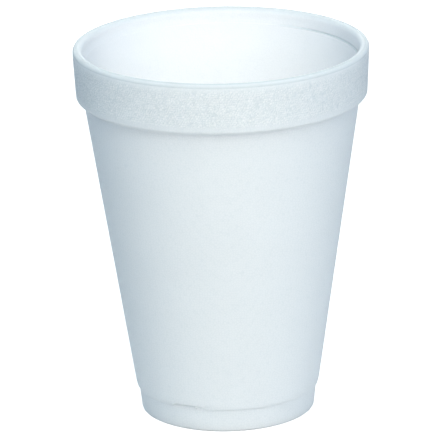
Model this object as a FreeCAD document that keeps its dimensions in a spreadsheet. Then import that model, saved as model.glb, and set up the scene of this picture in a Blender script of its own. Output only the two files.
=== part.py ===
import FreeCAD, Part
import math
import os
import Sketcher

# A tall drinking cup of expanded-bead foam, moulded in one piece.
# Millimetres. +Z is up along the cup's axis, and the origin is the centre of the foot ring's
# lower face, on the surface that the cup stands on.

SIZES = (
    # alias, value, what it measures
    ("cup_height", 114.0, "foot to the top of the lip"),
    ("lip_radius", 44.5, "outside of the collar, at the lip"),
    ("lip_outer_round", 1.1, "rounding of the lip's outer edge"),
    ("lip_land", 0.2, "level strip between the lip's two roundings"),
    ("lip_draft", 0.15, "widening of the lip's inner face towards the top"),
    ("collar_height", 16.2, "top of the lip down to the neck"),
    ("collar_draft", 0.72, "narrowing of the collar from the lip to its lower edge"),
    ("collar_overhang", 2.24, "step in from the collar's lower edge to the neck"),
    ("collar_undercut", 1.15, "height of the collar's sloping underside"),
    ("collar_edge_round", 0.75, "rounding of the collar's lower edge"),
    ("neck_fillet", 0.65, "fillet where the collar's underside meets the body"),
    ("base_radius", 27.8, "outside of the body where it ends above the foot"),
    ("wall_thickness", 2.3, "body wall, square to its face"),
    ("ledge_depth", 4.6, "top of the lip down to the inner stacking ledge"),
    ("ledge_width", 0.45, "width of the inner stacking ledge"),
    ("foot_height", 7.35, "height of the foot ring, up to the end of the body"),
    ("foot_step", 0.65, "step in from the end of the body to the foot ring"),
    ("foot_taper", 0.85, "narrowing of the foot ring down to its lower face"),
    ("foot_edge_round", 0.8, "rounding of the foot ring's lower edges"),
    ("foot_rim_width", 3.2, "width of the foot ring's lower face"),
    ("recess_depth", 4.3, "hollow under the floor, inside the foot ring"),
    ("recess_draft", 0.6, "narrowing of that hollow towards the floor"),
    ("floor_thickness", 3.0, "floor of the cup"),
    ("floor_fillet", 2.6, "fillet between the floor and the wall, inside"),
    ("filler_mark_radius", 4.0, "round mark of the mould's filler, under the floor"),
    ("filler_mark_depth", 0.35, "how far that mark is sunk"),
)


def make_sizes(doc):
    """The sheet of driving dimensions, one plain number a row."""
    sheet = doc.addObject("Spreadsheet::Sheet", "Sizes")
    for row, (alias, value, meaning) in enumerate(SIZES, start=1):
        sheet.set(f"A{row}", alias)
        sheet.set(f"B{row}", str(value))
        sheet.set(f"C{row}", meaning)
        sheet.setAlias(f"B{row}", alias)
    doc.recompute()
    return sheet


def origin_feature(body, role):
    """The plane or axis of a body's own origin that has this role."""
    return next(item for item in body.Origin.OriginFeatures if item.Role == role)


class Section:
    """A closed sketch of straight lines in the XZ plane: X is the radius and Y the height."""

    def __init__(self, body, name, corners):
        self.sketch = body.newObject("Sketcher::SketchObject", name)
        self.sketch.AttachmentSupport = [(origin_feature(body, "XZ_Plane"), "")]
        self.sketch.MapMode = "FlatFace"
        self.names = list(corners)
        places = [FreeCAD.Vector(radius, height, 0) for radius, height in corners.values()]
        for start, end in zip(places, places[1:] + places[:1]):
            self.sketch.addGeometry(Part.LineSegment(start, end), False)
        count = len(places)
        for line in range(count):
            self.tie("Coincident", line, 2, (line + 1) % count, 1)

    def line(self, corner):
        """The line that starts at this corner."""
        return self.names.index(corner)

    def tie(self, kind, *arguments):
        """A constraint with no size."""
        self.sketch.addConstraint(Sketcher.Constraint(kind, *arguments))

    def level(self, corner):
        """Keeps the line from this corner horizontal."""
        self.tie("Horizontal", self.line(corner))

    def on_axis(self, corner):
        """Keeps a corner on the cup's axis."""
        self.tie("PointOnObject", self.line(corner), 1, -2)

    def on_ground(self, corner):
        """Keeps a corner at height 0."""
        self.tie("PointOnObject", self.line(corner), 1, -1)

    def measure(self, name, kind, arguments, value, expression):
        """A constraint with a size, bound to the sheet."""
        index = self.sketch.addConstraint(Sketcher.Constraint(kind, *arguments, value))
        self.sketch.renameConstraint(index, name)
        self.sketch.setExpression(f"Constraints.{name}", expression)

    def across(self, name, first, second, value, expression):
        """How much further out the second corner is than the first, or the axis if first is None."""
        start = (-1, 1) if first is None else (self.line(first), 1)
        ends = (*start, self.line(second), 1)
        self.measure(name, "DistanceX", ends, value, expression)

    def above(self, name, first, second, value, expression):
        """How much higher the second corner is than the first, or the ground if first is None."""
        start = (-1, 1) if first is None else (self.line(first), 1)
        ends = (*start, self.line(second), 1)
        self.measure(name, "DistanceY", ends, value, expression)

    def reference(self, name, kind, arguments):
        """A measured size that drives nothing here, for other features to read."""
        index = self.sketch.addConstraint(Sketcher.Constraint(kind, *arguments, 0.0))
        self.sketch.setDriving(index, False)
        self.sketch.renameConstraint(index, name)

    def place(self, corner):
        """Where a corner lies now, as radius and height."""
        point = self.sketch.getPoint(self.line(corner), 1)
        return point.x, point.y


def cup_corners(sheet):
    """The corners of the wall's section, in order, as radius and height."""

    def size(alias):
        return float(sheet.get(alias))

    top = size("cup_height")
    neck_height = top - size("collar_height")
    collar_radius = size("lip_radius") - size("collar_draft")
    neck_radius = collar_radius - size("collar_overhang")
    foot_height = size("foot_height")
    foot_top_radius = size("base_radius") - size("foot_step")
    foot_radius = foot_top_radius - size("foot_taper")
    slope = (neck_radius - size("base_radius")) / (neck_height - foot_height)
    wall_across = size("wall_thickness") * math.hypot(1, slope)
    ledge_height = top - size("ledge_depth")
    ceiling = size("recess_depth")
    floor = ceiling + size("floor_thickness")

    def inner_radius(height):
        return size("base_radius") - wall_across + slope * (height - foot_height)

    ledge_radius = inner_radius(ledge_height) + size("ledge_width")
    recess_radius = foot_radius - size("foot_rim_width")
    mark_radius = size("filler_mark_radius")
    mark_ceiling = ceiling + size("filler_mark_depth")
    return {
        "mark_centre": (0, mark_ceiling),
        "mark_top_edge": (mark_radius, mark_ceiling),
        "mark_edge": (mark_radius, ceiling),
        "recess_ceiling": (recess_radius - size("recess_draft"), ceiling),
        "foot_inner": (recess_radius, 0),
        "foot_outer": (foot_radius, 0),
        "foot_top": (foot_top_radius, foot_height),
        "body_end": (size("base_radius"), foot_height),
        "neck": (neck_radius, neck_height),
        "collar_edge": (collar_radius, neck_height + size("collar_undercut")),
        "lip_outer": (size("lip_radius"), top),
        "lip_inner": (ledge_radius + size("lip_draft"), top),
        "ledge_outer": (ledge_radius, ledge_height),
        "ledge_inner": (inner_radius(ledge_height), ledge_height),
        "floor_edge": (inner_radius(floor), floor),
        "floor_centre": (0, floor),
    }


def draw_outside(section, size):
    """The collar, the tapered body and the foot ring."""
    section.above("height", None, "lip_outer", size("cup_height"), "Sizes.cup_height")
    section.across("lip", None, "lip_outer", size("lip_radius"), "Sizes.lip_radius")
    section.across("draft", "collar_edge", "lip_outer", size("collar_draft"), "Sizes.collar_draft")
    section.above("collar", "neck", "lip_outer", size("collar_height"), "Sizes.collar_height")
    section.above("undercut", "neck", "collar_edge", size("collar_undercut"), "Sizes.collar_undercut")
    section.across("overhang", "neck", "collar_edge", size("collar_overhang"), "Sizes.collar_overhang")
    section.above("foot", None, "body_end", size("foot_height"), "Sizes.foot_height")
    section.across("base", None, "body_end", size("base_radius"), "Sizes.base_radius")
    section.across("step", "foot_top", "body_end", size("foot_step"), "Sizes.foot_step")
    section.level("foot_top")
    section.across("taper", "foot_outer", "foot_top", size("foot_taper"), "Sizes.foot_taper")


def draw_underside(section, size):
    """The foot ring's lower face, the hollow inside it and the filler's mark."""
    section.on_ground("foot_outer")
    section.on_ground("foot_inner")
    section.across("rim", "foot_inner", "foot_outer", size("foot_rim_width"), "Sizes.foot_rim_width")
    section.across("recess_side", "recess_ceiling", "foot_inner", size("recess_draft"), "Sizes.recess_draft")
    section.above("recess", None, "recess_ceiling", size("recess_depth"), "Sizes.recess_depth")
    section.level("mark_edge")
    section.tie("Vertical", section.line("mark_top_edge"))
    section.level("mark_centre")
    section.on_axis("mark_centre")
    section.across("mark", None, "mark_edge", size("filler_mark_radius"), "Sizes.filler_mark_radius")
    mark_depth = size("filler_mark_depth")
    section.above("mark_sunk", "mark_edge", "mark_top_edge", mark_depth, "Sizes.filler_mark_depth")


def draw_inside(section, size):
    """The floor, the inner wall, which keeps its distance from the body, and the stacking ledge."""
    section.on_axis("floor_centre")
    section.level("floor_edge")
    section.above("floor", "recess_ceiling", "floor_edge", size("floor_thickness"), "Sizes.floor_thickness")
    inner_wall = section.line("ledge_inner")
    outer_wall = section.line("body_end")
    section.tie("Parallel", inner_wall, outer_wall)
    ends = (inner_wall, 1, outer_wall)
    section.measure("wall", "Distance", ends, size("wall_thickness"), "Sizes.wall_thickness")
    section.level("ledge_outer")
    section.above("ledge_drop", "ledge_outer", "lip_inner", size("ledge_depth"), "Sizes.ledge_depth")
    section.across("ledge", "ledge_inner", "ledge_outer", size("ledge_width"), "Sizes.ledge_width")
    section.level("lip_outer")
    section.across("lip_inner_side", "ledge_outer", "lip_inner", size("lip_draft"), "Sizes.lip_draft")
    lip_ends = (section.line("lip_inner"), 1, section.line("lip_outer"), 1)
    section.reference("lip_thickness", "DistanceX", lip_ends)


def ring_edge(shape, place):
    """The name of the circular edge round the axis that is nearest to this radius and height."""
    radius, height = place

    def distance(edge):
        curve = edge.Curve
        if not isinstance(curve, Part.Circle):
            return math.inf
        return math.hypot(curve.Radius - radius, curve.Center.z - height)

    gaps = [distance(edge) for edge in shape.Edges]
    return f"Edge{gaps.index(min(gaps)) + 1}"


def round_edges(doc, body, name, places, expression):
    """One fillet feature on the ring edges at these places, its radius bound to the sheet."""
    base = body.Tip
    edges = [ring_edge(base.Shape, place) for place in places]
    fillet = body.newObject("PartDesign::Fillet", name)
    fillet.Base = (base, edges)
    fillet.setExpression("Radius", expression)
    body.Tip = fillet
    doc.recompute()


def make_cup(doc, sheet):
    """The cup: its wall's section turned about the axis, then its edges rounded."""

    def size(alias):
        return float(sheet.get(alias))

    body = doc.addObject("PartDesign::Body", "foam_cup")
    body.Label = "foam_cup"
    section = Section(body, "WallSection", cup_corners(sheet))
    draw_outside(section, size)
    draw_underside(section, size)
    draw_inside(section, size)
    doc.recompute()

    turned = body.newObject("PartDesign::Revolution", "TurnedWall")
    turned.Profile = section.sketch
    turned.ReferenceAxis = (section.sketch, ["V_Axis"])
    turned.Angle = 360
    section.sketch.Visibility = False
    body.Tip = turned
    doc.recompute()

    lip_inner_round = (
        "WallSection.Constraints.lip_thickness - (Sizes.lip_outer_round + Sizes.lip_land) * 1 mm"
    )
    fillets = (
        ("LipOuterRound", ("lip_outer",), "Sizes.lip_outer_round"),
        ("LipInnerRound", ("lip_inner",), lip_inner_round),
        ("CollarEdgeRound", ("collar_edge",), "Sizes.collar_edge_round"),
        ("NeckFillet", ("neck",), "Sizes.neck_fillet"),
        ("FootEdgeRound", ("foot_outer", "foot_inner"), "Sizes.foot_edge_round"),
        ("FloorFillet", ("floor_edge",), "Sizes.floor_fillet"),
    )
    for name, corners, radius in fillets:
        round_edges(doc, body, name, [section.place(corner) for corner in corners], radius)
    body.Placement = FreeCAD.Placement()
    return body


def check(doc, bodies):
    """Stops if any object failed, or if a body isn't one valid solid."""
    for item in doc.Objects:
        if {"Invalid", "Error"} & set(item.State):
            raise RuntimeError(f"{item.Label} is {item.State}")
    for body in bodies:
        shape = body.Shape
        if shape.isNull() or not shape.isValid() or len(shape.Solids) != 1:
            raise RuntimeError(f"{body.Label} isn't one valid solid")


def main():
    doc = FreeCAD.newDocument("FoamCup")
    sheet = make_sizes(doc)
    bodies = [make_cup(doc, sheet)]
    doc.recompute()
    check(doc, bodies)
    os.makedirs("parts", exist_ok=True)
    for body in bodies:
        body.Shape.exportStep(f"parts/{body.Label}.step")
        print(body.Label, "volume in cubic mm:", round(body.Shape.Volume, 1))


main()
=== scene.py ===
import math
import random

import bpy
import numpy as np
from mathutils import Matrix, Vector, noise
from mathutils.kdtree import KDTree


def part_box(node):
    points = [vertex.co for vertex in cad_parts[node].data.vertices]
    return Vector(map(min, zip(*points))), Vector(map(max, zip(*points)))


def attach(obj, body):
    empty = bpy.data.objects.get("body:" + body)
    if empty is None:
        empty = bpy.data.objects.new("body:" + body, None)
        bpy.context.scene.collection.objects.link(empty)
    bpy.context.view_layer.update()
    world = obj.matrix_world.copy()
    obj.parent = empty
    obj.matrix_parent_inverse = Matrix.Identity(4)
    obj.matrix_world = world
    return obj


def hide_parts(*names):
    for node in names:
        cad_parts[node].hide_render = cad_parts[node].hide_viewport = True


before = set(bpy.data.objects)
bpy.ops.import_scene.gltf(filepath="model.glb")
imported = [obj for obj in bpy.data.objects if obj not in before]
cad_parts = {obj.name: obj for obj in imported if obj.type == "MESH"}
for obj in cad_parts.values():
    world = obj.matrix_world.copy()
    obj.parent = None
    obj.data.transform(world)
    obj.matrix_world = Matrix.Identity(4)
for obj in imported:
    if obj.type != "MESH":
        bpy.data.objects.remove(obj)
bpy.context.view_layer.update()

# A foam cup of expanded beads, moulded in one piece. Metres, +Z up, the foot on height 0.
# The cup is one closed mesh, turned from the section of its wall, with the relief of its beads
# on the collar, a nick in the body's lower edge and small unevennesses all over, as a moulded
# foam cup has them.

MM = 0.001
_, CUP_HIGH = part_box("foam_cup")


# ---------------------------------------------------------------- the section of the wall

TOP = CUP_HIGH.z
LIP_OUTER_ROUND = 1.1 * MM
COLLAR_HEIGHT = 16.2 * MM
COLLAR_DRAFT = 0.72 * MM
COLLAR_OVERHANG = 2.24 * MM
COLLAR_UNDERCUT = 1.15 * MM
CREASE_RADIUS = min(CUP_HIGH.x, CUP_HIGH.y)
LIP_RADIUS = CREASE_RADIUS + COLLAR_DRAFT * LIP_OUTER_ROUND / (COLLAR_HEIGHT - COLLAR_UNDERCUT)
NECK_HEIGHT = TOP - COLLAR_HEIGHT
COLLAR_EDGE_RADIUS = LIP_RADIUS - COLLAR_DRAFT
NECK_RADIUS = COLLAR_EDGE_RADIUS - COLLAR_OVERHANG
BASE_RADIUS = 27.8 * MM
FOOT_HEIGHT = 7.35 * MM
FOOT_STEP = 0.65 * MM
FOOT_TOP_RADIUS = BASE_RADIUS - FOOT_STEP
FOOT_DRAFT = 0.85 * MM
FOOT_RADIUS = FOOT_TOP_RADIUS - FOOT_DRAFT
FOOT_RIM_WIDTH = 3.2 * MM
RECESS_RADIUS = FOOT_RADIUS - FOOT_RIM_WIDTH
RECESS_DRAFT = 0.6 * MM
RECESS_DEPTH = 4.3 * MM
MARK_RADIUS = 4.0 * MM
MARK_DEPTH = 0.35 * MM
FLOOR_THICKNESS = 3.0 * MM
FLOOR_HEIGHT = RECESS_DEPTH + FLOOR_THICKNESS
INNER_ROUND = 2.6 * MM
LEDGE_HEIGHT = TOP - 4.6 * MM
LEDGE_WIDTH = 0.45 * MM
LIP_DRAFT = 0.15 * MM
LIP_LAND = 0.2 * MM
WALL_SLOPE = (NECK_RADIUS - BASE_RADIUS) / (NECK_HEIGHT - FOOT_HEIGHT)
WALL_THICKNESS = 2.3 * MM
WALL_ACROSS = WALL_THICKNESS * math.hypot(1, WALL_SLOPE)


def inner_radius(height):
    """The radius of the inner wall, which keeps its distance from the body."""
    return BASE_RADIUS - WALL_ACROSS + WALL_SLOPE * (height - FOOT_HEIGHT)


LEDGE_RADIUS = inner_radius(LEDGE_HEIGHT) + LEDGE_WIDTH
LIP_INNER_RADIUS = LEDGE_RADIUS + LIP_DRAFT
LIP_INNER_ROUND = LIP_RADIUS - LIP_INNER_RADIUS - LIP_OUTER_ROUND - LIP_LAND

# How far up the body the nick in its lower edge reaches. The rows lie closer there.
NICK_REACH = 2.2 * MM

# Corners of the section from under the floor, round the outside, over the lip and down to the
# floor: radius, height, rounding, and how far apart the rows of the run that ends here lie.
CORNERS = (
    (0.0, RECESS_DEPTH + MARK_DEPTH, 0.0, 1.0 * MM),
    (MARK_RADIUS, RECESS_DEPTH + MARK_DEPTH, 0.12 * MM, 1.0 * MM),
    (MARK_RADIUS, RECESS_DEPTH, 0.15 * MM, 1.0 * MM),
    (RECESS_RADIUS - RECESS_DRAFT, RECESS_DEPTH, 0.6 * MM, 1.2 * MM),
    (RECESS_RADIUS, 0.0, 0.8 * MM, 1.0 * MM),
    (FOOT_RADIUS, 0.0, 0.8 * MM, 0.6 * MM),
    (FOOT_TOP_RADIUS, FOOT_HEIGHT, 0.18 * MM, 0.5 * MM),
    (BASE_RADIUS, FOOT_HEIGHT, 0.3 * MM, 0.2 * MM),
    (BASE_RADIUS + WALL_SLOPE * NICK_REACH, FOOT_HEIGHT + NICK_REACH, 0.0, 0.36 * MM),
    (NECK_RADIUS, NECK_HEIGHT, 0.65 * MM, 2.6 * MM),
    (COLLAR_EDGE_RADIUS, NECK_HEIGHT + COLLAR_UNDERCUT, 0.75 * MM, 0.5 * MM),
    (LIP_RADIUS, TOP, LIP_OUTER_ROUND, 0.34 * MM),
    (LIP_INNER_RADIUS, TOP, LIP_INNER_ROUND, 0.31 * MM),
    (LEDGE_RADIUS, LEDGE_HEIGHT, 0.2 * MM, 0.5 * MM),
    (inner_radius(LEDGE_HEIGHT), LEDGE_HEIGHT, 0.2 * MM, 0.2 * MM),
    (inner_radius(FLOOR_HEIGHT), FLOOR_HEIGHT, INNER_ROUND, 3.0 * MM),
    (0.0, FLOOR_HEIGHT, 0.0, 1.2 * MM),
)
ARC_STEP = 0.3 * MM
ARC_PIECES = 4
CORNER_SUPPORT = 0.3 * MM
FINE_COLUMNS = 800
# Rows this close to the axis have the fewest columns.
MIDDLE_RADIUS = 3.0 * MM
# Rows this far up or down from the body's lower edge, and inwards of the foot's top, are as fine
# as the nick needs.
NICK_ROWS = 1.6 * MM
NICK_ROWS_INWARDS = 0.4 * MM


def rounded_corner(before, at, after, radius):
    """The points of the arc that rounds a corner of the section."""
    to_before = (before - at).normalized()
    to_after = (after - at).normalized()
    half = to_before.angle(to_after) / 2
    reach = radius / math.tan(half)
    centre = at + (to_before + to_after).normalized() * radius / math.sin(half)
    start = at + to_before * reach - centre
    end = at + to_after * reach - centre
    turn = start.angle(end)
    pieces = max(ARC_PIECES, round(turn * radius / ARC_STEP))
    sine = math.sin(turn)
    for step in range(pieces + 1):
        part = step / pieces
        blend = start * math.sin((1 - part) * turn) + end * math.sin(part * turn)
        yield centre + blend / sine


def section_rows():
    """The rows of the mesh as (radius, height), in order along the section."""
    corners = [Vector((radius, 0, height)) for radius, height, _, _ in CORNERS]
    rows = [corners[0]]
    for index in range(1, len(corners)):
        _, _, rounding, spacing = CORNERS[index]
        if rounding:
            arc = list(rounded_corner(*corners[index - 1:index + 2], rounding))
        else:
            arc = [corners[index]]
        start = rows[-1]
        run = arc[0] - start
        pieces = max(1, round(run.length / spacing))
        support = min(CORNER_SUPPORT, run.length / (2 * pieces)) / run.length
        parts = [step / pieces for step in range(1, pieces)]
        if pieces > 1:
            parts = [support, *parts, 1 - support]
        rows += [start + run * part for part in parts]
        rows += arc
    return [(row.x, row.z) for row in rows]


def wanted_columns(radius, height, inside):
    """How many columns a row needs for the relief on it, before row_columns evens out the steps."""
    if radius < MIDDLE_RADIUS:
        return FINE_COLUMNS // 16
    if not inside and radius < FOOT_RADIUS or inside and height < FLOOR_HEIGHT + INNER_ROUND:
        return FINE_COLUMNS // 8
    collar = NECK_HEIGHT + COLLAR_UNDERCUT < height < TOP - LIP_OUTER_ROUND
    nick = radius > FOOT_TOP_RADIUS - NICK_ROWS_INWARDS and abs(height - FOOT_HEIGHT) < NICK_ROWS
    if not inside and (collar or nick):
        return FINE_COLUMNS
    return FINE_COLUMNS // 2 if height > LEDGE_HEIGHT - MM else FINE_COLUMNS // 4


def row_columns(rows, turn):
    """The columns of each row, at most twice those of the rows beside it.

    Past the turning row the section is on the cup's inside.
    """
    columns = [wanted_columns(*row, place > turn) for place, row in enumerate(rows)]
    for place in range(1, len(rows)):
        columns[place] = min(columns[place], 2 * columns[place - 1])
    for place in range(len(rows) - 2, -1, -1):
        columns[place] = min(columns[place], 2 * columns[place + 1])
    return columns


# ---------------------------------------------------------------- relief

BEAD_PITCH = 0.82 * MM
BEAD_JITTER = 0.22
BEAD_GROOVE = 0.085 * MM
BEAD_STAND = 0.06 * MM
BEAD_SEED = 12
SEAM_WIDTH = 0.55 * BEAD_PITCH
RELIEF_FULL = (NECK_HEIGHT + 3.4 * MM, TOP - 2.6 * MM)
RELIEF_FADE = 1.3 * MM
RELIEF_LEAST = 0.35
WAVE_DEPTH = 0.035 * MM
WAVE_LENGTH = 7.0 * MM
LUMP_DEPTH = 0.02 * MM
LUMP_LENGTH = 4.5 * MM
STILL_FOOT = 1.5 * MM


def fade(value, start, end):
    """0 before start, 1 after end, smooth between."""
    part = np.clip((value - start) / (end - start), 0.0, 1.0)
    return part * part * (3 - 2 * part)


def bead_centres(length):
    """Centres of the beads on the collar, unrolled: a loose triangular packing."""
    source = random.Random(BEAD_SEED)
    round_trip = 2 * math.pi * CREASE_RADIUS
    across = round(round_trip / BEAD_PITCH)
    pitch = round_trip / across
    rise = pitch * math.sqrt(3) / 2
    jitter = BEAD_JITTER * pitch
    centres = []
    for level in range(-1, math.ceil(length / rise) + 2):
        for place in range(across):
            x = (place + 0.5 * (level % 2)) * pitch + source.gauss(0, jitter)
            centres.append((x % round_trip, level * rise + source.gauss(0, jitter), 0.0))
    margin = 3 * pitch
    centres += [(x - round_trip, y, z) for x, y, z in centres if x > round_trip - margin]
    centres += [(x + round_trip, y, z) for x, y, z in centres if 0 <= x < margin]
    return centres


def bead_relief(points):
    """How deep the seam between beads is at each unrolled point, from 0 to 1."""
    centres = bead_centres(max(y for _, y in points))
    tree = KDTree(len(centres))
    for index, centre in enumerate(centres):
        tree.insert(centre, index)
    tree.balance()
    seams = []
    for x, y in points:
        near, far = tree.find_n((x, y, 0.0), 2)
        seams.append(1 - min(1.0, (far[2] - near[2]) / SEAM_WIDTH))
    return np.array(seams)


def unevenness(points):
    """The slow waves and small lumps of the foam's skin, from 0 inwards, in metres."""
    waves = [noise.noise(Vector(point) / WAVE_LENGTH) for point in points]
    lumps = [noise.noise(Vector(point) / LUMP_LENGTH + Vector((9, 4, 1))) for point in points]
    return WAVE_DEPTH * (1 + np.array(waves)) / 2 + LUMP_DEPTH * (1 + np.array(lumps)) / 2


# How far up the body its lower edge rounds off, how far down the step below it moves along, and
# by what share of that step.
EDGE_REACH = 1.8 * MM
EDGE_BELOW = 0.3 * MM
EDGE_SHARE = 0.28


def soft_edge(radius, height, inside):
    """The radius of each point, with the body's lower edge rounded off over a short way."""
    part = np.clip((FOOT_HEIGHT + EDGE_REACH - height) / EDGE_REACH, 0.0, 1.0) ** 2
    part = part * (height > FOOT_HEIGHT - EDGE_BELOW) * (radius > FOOT_TOP_RADIUS) * (1 - inside)
    return radius - EDGE_SHARE * part * (radius - FOOT_TOP_RADIUS)


# Painted shade darkens the lip from the crease under its outer rounding down to the ledge inside,
# with painted dark lines at the crease and along the top. The next three are lengths along the
# section from the top of the lip.
RIM_START = (-2.0 * MM, -1.6 * MM)
RIM_EASE = (1.0 * MM, 2.9 * MM)
RIM_LINES = ((-1.75 * MM, 0.22 * MM), (0.0, 0.5 * MM))
RIM_BAND = 0.05
RIM_CRISP_SHARE = 0.2
RIM_LINE_TONE = 0.6
LEDGE_LINE_WIDTH = 0.22 * MM
# Between these two heights over the ledge the painted shade on the inner wall ends.
UNDER_LEDGE = (0.05 * MM, -0.35 * MM)

# The ledge inside is crisp on one side of the cup and fades into the wall on the other. Where it is
# crisp, the painted shade above it is darker and a painted dark line runs along it. The angle
# is in degrees round the cup, +X at 0.
LEDGE_CRISP_ANGLE = 10.0
LEDGE_CRISP_COSINES = (0.45, 0.95)
LEDGE_SLOPE_HEIGHT = 2.4 * MM
LEDGE_MOST_FADED = 0.85


def ledge_crispness(angle):
    """1 where the ledge inside is crisp, and 0 where it has faded."""
    return fade(np.cos(angle - math.radians(LEDGE_CRISP_ANGLE)), *LEDGE_CRISP_COSINES)


def faded_ledge(angle, radius, height, inside):
    """The radius of each point, with the ledge's step spread over a slope where it has faded."""
    share = LEDGE_MOST_FADED * (1 - ledge_crispness(angle)) * inside * (height > LEDGE_HEIGHT - MM)
    extra = radius - inner_radius(height)
    sloped = extra * fade(height, LEDGE_HEIGHT, LEDGE_HEIGHT + LEDGE_SLOPE_HEIGHT)
    return radius + share * (sloped - extra)


def rim_painted_shade(angle, past_lip, height, inside):
    """How much painted shade darkens the lip at each point, and how much each point lies on the inner
    wall.
    """
    start, end = UNDER_LEDGE
    under_ledge = fade(-height, -LEDGE_HEIGHT - start, -LEDGE_HEIGHT - end) * inside
    crisp = ledge_crispness(angle)
    # Painted shade: a dark line along the ledge where it is crisp.
    ledge = np.exp(-((height - LEDGE_HEIGHT) / LEDGE_LINE_WIDTH) ** 2) * inside * crisp
    # Painted shade on the inner wall above the ledge, darker where the ledge is crisp.
    band = 1 - (1 - RIM_BAND - RIM_CRISP_SHARE * crisp) * fade(past_lip, *RIM_EASE)
    # Painted shade over the lip from the crease, with painted dark lines at the crease and along the top.
    lines = sum(np.exp(-((past_lip - at) / width) ** 2) for at, width in RIM_LINES)
    body = (1 - RIM_LINE_TONE + RIM_LINE_TONE * lines) * fade(past_lip, *RIM_START)
    rim = np.maximum(body * band * (1 - under_ledge), ledge)
    return rim, fade(past_lip, *RIM_EASE)


# The nick where the body ends above the foot: it is chipped upwards over a short way, the chip is
# bridged by a crumb of foam, and it tapers out. Angles are in degrees round the cup, +X at 0.
NICK_START, NICK_BRIDGE, NICK_END = 234.0, 249.4, 257.0
NICK_EASE = 1.5
NICK_FADE = (0.5 * MM, 1.7 * MM)
NICK_INWARDS = 0.5 * MM
NICK_EDGE = 0.35 * MM
NICK_RISE = 0.55 * MM
NICK_DEPTH = 0.3 * MM
CRUMB_SIZE = 0.9
CRUMB_HEIGHT = 0.45 * MM
BURR_RISE = 0.75 * MM
BURR_HEIGHT = 0.22 * MM


def nick_shift(angle, radius, height):
    """How much the ledge above the foot is lifted and sunk at each point of the nick."""
    above = height - FOOT_HEIGHT
    near_ledge = 1 - fade(np.abs(above), *NICK_FADE)
    near_ledge = near_ledge * (radius > FOOT_TOP_RADIUS - NICK_INWARDS)
    along = fade(angle, NICK_START - NICK_EASE, NICK_START + NICK_EASE)
    along = along * (1 - fade(angle, NICK_BRIDGE, NICK_END))
    crumb = np.exp(-((angle - NICK_BRIDGE) / CRUMB_SIZE) ** 2)
    corner = np.exp(-(above / NICK_EDGE) ** 2) * near_ledge
    lift = NICK_RISE * along * near_ledge
    burr = np.exp(-((above - BURR_RISE) / NICK_EDGE) ** 2) * near_ledge * along
    sink = corner * (NICK_DEPTH * along * (1 - crumb) - CRUMB_HEIGHT * crumb) - BURR_HEIGHT * burr
    return lift, sink


# ---------------------------------------------------------------- the cup's mesh

def strip(first, first_count, second, second_count):
    """The faces between two rows. One row may have twice the columns of the other."""
    if first_count == second_count:
        for place in range(first_count):
            after = (place + 1) % first_count
            yield first + place, first + after, second + after, second + place
        return
    flip = first_count > second_count
    coarse, fine = (second, first) if flip else (first, second)
    count = min(first_count, second_count)
    for place in range(count):
        after = (place + 1) % count
        near, middle, far = (fine + index % (2 * count) for index in range(2 * place, 2 * place + 3))
        for face in (
            (coarse + place, middle, near),
            (coarse + place, coarse + after, middle),
            (coarse + after, far, middle),
        ):
            yield face[::-1] if flip else face


def cap(centre, ring, count, upwards):
    """The fan of faces between a ring and its centre."""
    for place in range(count):
        face = (centre, ring + place, ring + (place + 1) % count)
        yield face if upwards else face[::-1]


def row_normals(rows):
    """The outward direction of the section at each row, as (radial, vertical)."""
    places = np.array(rows)
    along = np.empty_like(places)
    along[1:-1] = places[2:] - places[:-2]
    along[0], along[-1] = places[1] - places[0], places[-1] - places[-2]
    along /= np.linalg.norm(along, axis=1)[:, None]
    return np.stack([along[:, 1], -along[:, 0]], axis=1)


class CupPoints:
    """The points of the rows between the section's two ends, as one array for each measure."""

    def __init__(self, rows, columns, turn):
        normals = row_normals(rows)
        steps = np.linalg.norm(np.diff(np.array(rows), axis=0), axis=1)
        travel = np.concatenate([[0.0], np.cumsum(steps)])
        places = range(1, len(rows) - 1)
        counts = [columns[place] for place in places]

        def each(values):
            return np.concatenate([np.full(count, value) for count, value in zip(counts, values)])

        self.starts = [1 + sum(counts[:index]) for index in range(len(counts))]
        self.angle = np.concatenate([np.arange(count) * 2 * math.pi / count for count in counts])
        self.radius = each([rows[place][0] for place in places])
        self.height = each([rows[place][1] for place in places])
        self.out = each([normals[place][0] for place in places])
        self.up = each([normals[place][1] for place in places])
        self.path = each([travel[place] for place in places])
        self.past_lip = self.path - travel[turn]
        self.inside = each([float(place > turn) for place in places])


def collar_relief(cup):
    """The seams between the collar's beads, and how strong the relief is, at each point."""
    collar = (cup.height > NECK_HEIGHT) & (cup.radius > inner_radius(TOP))
    neck_travel = cup.path[collar].min()
    unrolled = list(zip(cup.angle[collar] * CREASE_RADIUS, cup.path[collar] - neck_travel))
    seam = np.zeros(len(cup.angle))
    seam[collar] = bead_relief(unrolled)
    low, high = RELIEF_FULL
    strength = fade(cup.height, low - RELIEF_FADE, low)
    strength = strength * (1 - fade(cup.height, high, high + RELIEF_FADE))
    least = RELIEF_LEAST * fade(cup.height, NECK_HEIGHT, low)
    strength = np.maximum(strength, least) * (1 - cup.inside)
    return seam * strength, strength


def shaped_places(cup, seam, strength):
    """Where each point lies once it is sunk or lifted by the relief, the unevenness and the nick."""
    lift, sink = nick_shift(np.degrees(cup.angle), cup.radius, cup.height)
    lift, sink = lift * (1 - cup.inside), sink * (1 - cup.inside)
    across, along = np.cos(cup.angle), np.sin(cup.angle)
    places = np.stack([cup.radius * across, cup.radius * along, cup.height], axis=1)
    soft = unevenness(places.tolist()) * fade(cup.height, 0.0, STILL_FOOT)
    depth = soft + BEAD_GROOVE * seam - BEAD_STAND * strength + sink
    places[:, 0] -= depth * cup.out * across
    places[:, 1] -= depth * cup.out * along
    places[:, 2] += lift - depth * cup.up
    places[:, 2] = np.clip(places[:, 2], 0.0, TOP)
    return places


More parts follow.
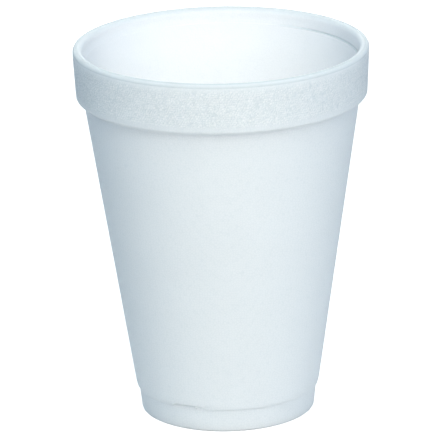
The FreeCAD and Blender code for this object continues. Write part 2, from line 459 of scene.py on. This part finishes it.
def cup_faces(starts, columns, last):
    """The faces of the whole cup, from the middle of the underside to the middle of the floor."""
    faces = list(cap(0, starts[0], columns[1], False))
    for place in range(len(starts) - 1):
        faces += strip(starts[place], columns[place + 1], starts[place + 1], columns[place + 2])
    faces += cap(last, starts[-1], columns[-2], True)
    return faces


def make_cup_mesh():
    """The cup as a closed mesh, which keeps four measures for the material on its points.

    They are the bead seams, the strength of the relief, how much painted shade darkens the lip,
    and how much a point lies on the inner wall.
    """
    rows = section_rows()
    turn = max(range(len(rows)), key=lambda place: rows[place][1])
    columns = row_columns(rows, turn)
    cup = CupPoints(rows, columns, turn)
    cup.radius = faded_ledge(cup.angle, cup.radius, cup.height, cup.inside)
    cup.radius = soft_edge(cup.radius, cup.height, cup.inside)
    seam, strength = collar_relief(cup)
    places = shaped_places(cup, seam, strength)
    rim, inner = rim_painted_shade(cup.angle, cup.past_lip, cup.height, cup.inside)

    bottom, floor = (0.0, 0.0, rows[0][1]), (0.0, 0.0, rows[-1][1])
    faces = cup_faces(cup.starts, columns, 1 + len(places))
    mesh = bpy.data.meshes.new("foam_cup_shell")
    mesh.from_pydata([bottom, *places.tolist(), floor], [], faces)
    for name, values, at_floor in (
        ("seam", seam, 0.0), ("relief", strength, 0.0), ("rim", rim, 0.0), ("inner", inner, 1.0),
    ):
        attribute = mesh.attributes.new(name, "FLOAT", "POINT")
        values = np.concatenate([[0.0], values, [at_floor]]).astype(np.float32)
        attribute.data.foreach_set("value", values)
    mesh.polygons.foreach_set("use_smooth", [True] * len(mesh.polygons))
    mesh.update()
    return mesh


# ---------------------------------------------------------------- material

class Nodes:
    """A short way to add and link the nodes of a material or of the world."""

    def __init__(self, owner):
        owner.use_nodes = True
        self.tree = owner.node_tree
        self.tree.nodes.clear()

    def add(self, kind, inputs=(), **settings):
        """A node with these settings, whose inputs take plain values or the sockets of others."""
        node = self.tree.nodes.new(kind)
        for key, value in settings.items():
            setattr(node, key, value)
        for key, value in dict(inputs).items():
            if isinstance(value, bpy.types.NodeSocket):
                self.tree.links.new(value, node.inputs[key])
            else:
                node.inputs[key].default_value = value
        return node

    def math(self, operation, first, second=0.0):
        """The result of a Math node."""
        return self.add("ShaderNodeMath", {0: first, 1: second}, operation=operation).outputs[0]

    def mix(self, share, first, second):
        """Two colours mixed."""
        return self.add("ShaderNodeMix", {0: share, 6: first, 7: second}, data_type="RGBA").outputs[2]

    def spread(self, value, low, high, new_low, new_high):
        """A value's range moved to another range, clamped."""
        inputs = {"Value": value, "From Min": low, "From Max": high, "To Min": new_low, "To Max": new_high}
        return self.add("ShaderNodeMapRange", inputs).outputs[0]


# The foam and its denser patches, the beads on the collar, the seams between beads, the painted
# shade on the lip, and the painted light on the inner wall near the rim and, paler, deep down.
FOAM = (0.854, 0.872, 0.884, 1.0)
FOAM_DENSE = (0.838, 0.856, 0.868, 1.0)
FOAM_BEAD = (0.984, 0.985, 0.985, 1.0)
FOAM_SEAM = (0.60, 0.66, 0.69, 1.0)
# The colour of the painted shade on the lip.
FOAM_RIM_PAINTED_SHADE = (0.52, 0.56, 0.58, 1.0)
# Paler copies of the foam as painted light of the glow inside the cup, palest deep down.
FOAM_INNER_PAINTED_LIGHT = (0.915, 0.912, 0.92, 1.0)
FOAM_DEEP_PAINTED_LIGHT = (0.955, 0.95, 0.956, 1.0)
DEEP_START = (TOP - 22 * MM, TOP - 6 * MM)
SKIN_BEAD = 0.78 * MM
MOTTLE_SIZE = 14 * MM
GRAIN_SIZE = 0.25 * MM
BEAD_BUMP = 0.1 * MM
GRAIN_BUMP = 0.02 * MM
LIGHT_REACH = 3.4 * MM


def foam_material():
    """Moulded bead foam: faint bead polygons, paler and darker beads, soft light inside, painted shade on
    the lip, painted light on the inner wall.
    """
    material = bpy.data.materials.new("foam")
    n = Nodes(material)
    place = n.add("ShaderNodeTexCoord").outputs["Object"]
    relief = n.add("ShaderNodeAttribute", attribute_name="relief").outputs["Fac"]
    seam = n.add("ShaderNodeAttribute", attribute_name="seam").outputs["Fac"]
    rim = n.add("ShaderNodeAttribute", attribute_name="rim").outputs["Fac"]
    inner = n.add("ShaderNodeAttribute", attribute_name="inner").outputs["Fac"]

    beads = {"Vector": place, "Scale": 1 / SKIN_BEAD, "Randomness": 0.75}
    edge = n.add("ShaderNodeTexVoronoi", beads, feature="DISTANCE_TO_EDGE").outputs["Distance"]
    skin_seam = n.spread(edge, 0.0, 0.13, 1.0, 0.0)
    bead_tone = n.add("ShaderNodeTexVoronoi", beads, feature="F1").outputs["Color"]
    bead_value = n.add("ShaderNodeSeparateColor", {"Color": bead_tone}).outputs["Red"]
    mottle = n.add(
        "ShaderNodeTexNoise", {"Vector": place, "Scale": 1 / MOTTLE_SIZE, "Detail": 3.0},
    ).outputs["Fac"]
    grain = n.add(
        "ShaderNodeTexNoise", {"Vector": place, "Scale": 1 / GRAIN_SIZE, "Detail": 2.0},
    ).outputs["Fac"]

    drawn_seam = n.math("MULTIPLY", skin_seam, n.spread(relief, 0.0, 1.0, 0.3, 0.9))
    all_seams = n.math("MAXIMUM", drawn_seam, seam)
    tone = n.mix(n.spread(mottle, 0.35, 0.65, 0.0, 0.6), FOAM, FOAM_DENSE)
    tone = n.mix(n.math("MULTIPLY", relief, relief), tone, FOAM_BEAD)
    height = n.add("ShaderNodeSeparateXYZ", {"Vector": place}).outputs["Z"]
    # Painted light: the inner wall takes the paler copies, the palest below the deep start.
    inside_painted_light = n.mix(n.spread(height, *DEEP_START, 0.0, 1.0), FOAM_DEEP_PAINTED_LIGHT, FOAM_INNER_PAINTED_LIGHT)
    # The lip and the inner wall near it take the painted shade.
    tone = n.mix(rim, n.mix(inner, tone, inside_painted_light), FOAM_RIM_PAINTED_SHADE)
    seam_share = n.math("MULTIPLY", all_seams, n.spread(bead_value, 0.0, 1.0, 0.58, 0.74))
    colour = n.mix(n.math("MULTIPLY", seam_share, n.spread(inner, 0.0, 1.0, 1.0, 0.5)), tone, FOAM_SEAM)
    roughness = n.spread(n.math("ADD", n.math("MULTIPLY", all_seams, 0.5), grain), 0.3, 1.2, 0.5, 0.68)

    bead_height = n.math("SUBTRACT", n.math("MULTIPLY", bead_value, 0.35), drawn_seam)
    bead_height = n.math("MULTIPLY", bead_height, n.spread(relief, 0.0, 1.0, 0.4, 1.0))
    bumps = n.add(
        "ShaderNodeBump", {"Strength": 0.8, "Distance": BEAD_BUMP, "Height": bead_height},
    ).outputs["Normal"]
    fine_bumps = n.add(
        "ShaderNodeBump", {"Strength": 0.15, "Distance": GRAIN_BUMP, "Height": grain, "Normal": bumps},
    ).outputs["Normal"]
    shader = n.add(
        "ShaderNodeBsdfPrincipled",
        {
            "Base Color": colour, "Roughness": roughness, "Normal": fine_bumps, "IOR": 1.45,
            "Specular IOR Level": 0.12, "Subsurface Weight": n.spread(relief, 0.0, 1.0, 0.95, 0.6),
            "Subsurface Radius": (1.0, 1.0, 1.0), "Subsurface Scale": LIGHT_REACH,
        },
    )
    n.add("ShaderNodeOutputMaterial", {"Surface": shader.outputs["BSDF"]})
    return material


def make_cup():
    """The cup, which stands for the CAD solid."""
    cup = bpy.data.objects.new("foam_cup_shell", make_cup_mesh())
    bpy.context.scene.collection.objects.link(cup)
    cup.data.materials.append(foam_material())
    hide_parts("foam_cup")
    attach(cup, "root")
    return cup


# ---------------------------------------------------------------- camera, floor and light

CAMERA_DISTANCE = 1.4032
CAMERA_HEIGHT_ANGLE = 17.752
CAMERA_ROLL = 1.225
CAMERA_AIM = Vector((-1.35, 0.51, 58.59)) * MM
SENSOR = 36.0
LENS = 378.93


def make_camera():
    """A long lens from in front, looking a little down, tipped a little."""
    scene = bpy.context.scene
    data = bpy.data.cameras.new("camera")
    data.sensor_width = SENSOR
    data.lens = LENS
    data.clip_start, data.clip_end = 0.05, 20.0
    camera = bpy.data.objects.new("camera", data)
    scene.collection.objects.link(camera)
    rise = math.radians(CAMERA_HEIGHT_ANGLE)
    middle = Vector((0, 0, TOP / 2))
    camera.location = middle + CAMERA_DISTANCE * Vector((0, -math.cos(rise), math.sin(rise)))
    look = (CAMERA_AIM - camera.location).to_track_quat("-Z", "Y").to_matrix()
    camera.rotation_euler = (look @ Matrix.Rotation(math.radians(-CAMERA_ROLL), 3, "Z")).to_euler()
    scene.camera = camera


def seen_plainly(n, lit, plain):
    """Shows one shader to the camera and in reflections, and lets another take part in the light."""
    path = n.add("ShaderNodeLightPath")
    seen = n.math("MAXIMUM", path.outputs["Is Camera Ray"], path.outputs["Is Glossy Ray"])
    seen = n.math("MAXIMUM", seen, path.outputs["Is Transmission Ray"])
    return n.add("ShaderNodeMixShader", {0: seen, 1: lit, 2: plain}).outputs[0]


# The floor lies a hair under the foot. Its tone goes over to the far one between two distances.
FLOOR_SIZE = 8.0
FLOOR_GAP = 0.02 * MM
FLOOR_COLOUR = (0.72, 0.72, 0.72, 1.0)
FLOOR_FAR_COLOUR = (0.5, 0.5, 0.5, 1.0)
FLOOR_FADE = (0.1, 0.3)
FLOOR_GLOW = 0.85


def make_floor():
    """A wide pale floor, whitest round the cup, so that less light comes back from far off.

    What the camera sees of it is lifted to white but keeps the shadow.
    """
    mesh = bpy.data.meshes.new("floor")
    half, below = FLOOR_SIZE / 2, -FLOOR_GAP
    corners = [(-half, -half, below), (half, -half, below), (half, half, below), (-half, half, below)]
    mesh.from_pydata(corners, [], [(0, 1, 2, 3)])
    floor = bpy.data.objects.new("floor", mesh)
    bpy.context.scene.collection.objects.link(floor)
    material = bpy.data.materials.new("floor")
    n = Nodes(material)
    place = n.add("ShaderNodeTexCoord").outputs["Object"]
    away = n.add("ShaderNodeVectorMath", {0: place}, operation="LENGTH").outputs["Value"]
    colour = n.mix(n.spread(away, *FLOOR_FADE, 0.0, 1.0), FLOOR_COLOUR, FLOOR_FAR_COLOUR)
    lit = n.add("ShaderNodeBsdfDiffuse", {"Color": colour}).outputs[0]
    glow = n.add("ShaderNodeEmission", {"Color": (1, 1, 1, 1), "Strength": FLOOR_GLOW}).outputs[0]
    lifted = n.add("ShaderNodeAddShader", {0: lit, 1: glow}).outputs[0]
    n.add("ShaderNodeOutputMaterial", {"Surface": seen_plainly(n, lit, lifted)})
    mesh.materials.append(material)


WORLD_COLOUR = (0.85, 0.94, 1.0, 1.0)
WORLD_STRENGTH = 0.025
LAMP_DISTANCE = 1.8
LAMP_SIZE = 1.2
WHITE = (1.0, 1.0, 1.0)
COOL = (0.88, 1.0, 1.0)
SKY = (0.0, 0.47, 1.0)

# name, azimuth and height in degrees, power in watts, colour
LIGHTS = (
    ("key", 16, 26, 15.3, WHITE),
    ("high", 16, 55, 6.1, WHITE),
    ("left", -6, 55, 14.6, COOL),
    ("above left", -110, 76, 5.2, COOL),
    ("left side", -100, 20, 4.2, SKY),
    ("right side", 100, 20, 4.4, SKY),
    ("back", 180, 30, 15.0, WHITE),
)


def make_world():
    """A faint sky that lights the cup all round, seen as plain white."""
    world = bpy.data.worlds.new("world")
    bpy.context.scene.world = world
    n = Nodes(world)
    sky = {"Color": WORLD_COLOUR, "Strength": WORLD_STRENGTH}
    lit = n.add("ShaderNodeBackground", sky).outputs[0]
    plain = n.add("ShaderNodeBackground", {"Color": (1, 1, 1, 1)}).outputs[0]
    n.add("ShaderNodeOutputWorld", {"Surface": seen_plainly(n, lit, plain)})


def make_lights():
    """Square soft lights round the cup. Azimuth 0 is in front, and 90 is to the right."""
    aim = Vector((0, 0, TOP / 2))
    for name, azimuth, height, power, colour in LIGHTS:
        data = bpy.data.lights.new(name, "AREA")
        data.shape = "SQUARE"
        data.size = LAMP_SIZE
        data.energy = power
        data.color = colour
        light = bpy.data.objects.new(name, data)
        bpy.context.scene.collection.objects.link(light)
        around, above = math.radians(azimuth), math.radians(height)
        flat = Vector((math.sin(around), -math.cos(around), 0))
        away = flat * math.cos(above) + Vector((0, 0, math.sin(above)))
        light.location = aim + LAMP_DISTANCE * away
        light.rotation_euler = (-away).to_track_quat("-Z", "Y").to_euler()


make_cup()
make_camera()
make_floor()
make_world()
make_lights()
bpy.context.scene.view_settings.view_transform = "Standard"
